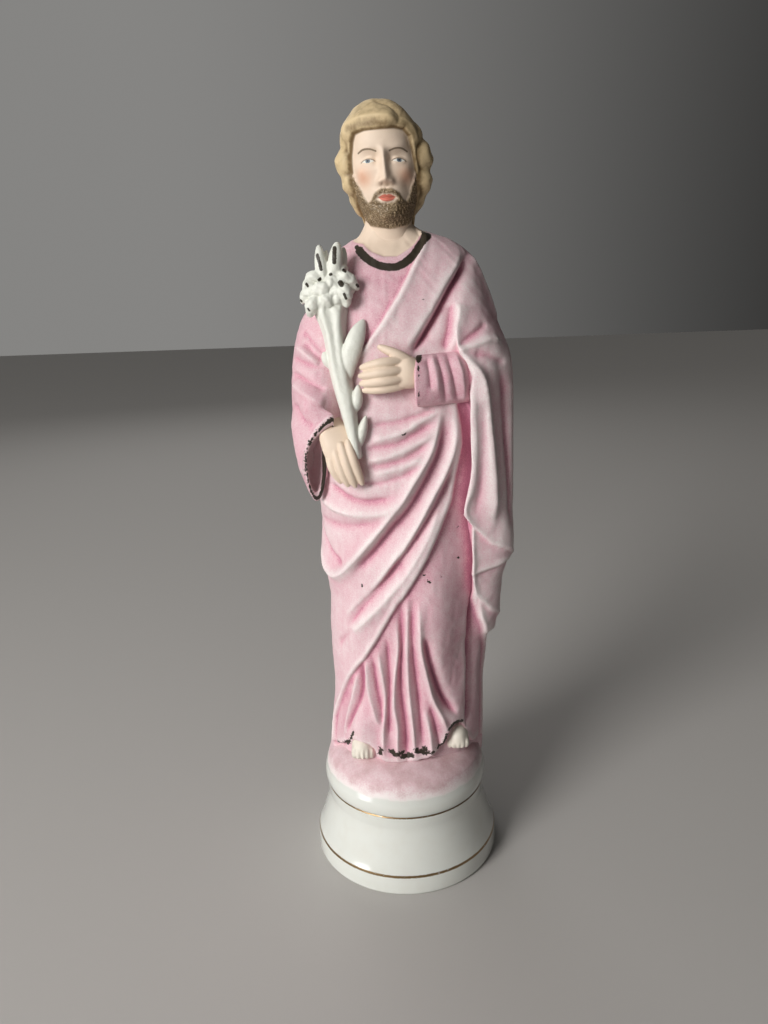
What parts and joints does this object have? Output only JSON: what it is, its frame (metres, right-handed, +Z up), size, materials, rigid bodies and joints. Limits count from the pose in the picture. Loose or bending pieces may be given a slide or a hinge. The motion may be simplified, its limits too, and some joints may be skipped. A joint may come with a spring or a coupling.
{
  "type": "saint joseph statue",
  "caption": "Slip-cast bisque figurine of a robed, bearded saint holding a lily spray, standing on a round glazed plinth.",
  "frame": {"origin": "centre of the round underside of the plinth, on the plane it stands on", "axes": "+Z up, the figure faces -Y, and its raised forearm is on the +X side"},
  "size_m": [0.074, 0.0684, 0.26],
  "materials": {
    "bisque_pink": "matt pink-tinted bisque porcelain",
    "bisque_flesh": "matt flesh-tinted bisque porcelain with painted hair and beard",
    "bisque_white": "plain white bisque porcelain with a faint sheen",
    "glazed_white": "clear-glazed white porcelain with thin gilt lines"
  },
  "bodies": {
    "root": {"statue": "bisque_pink"}
  },
  "joints": []
}
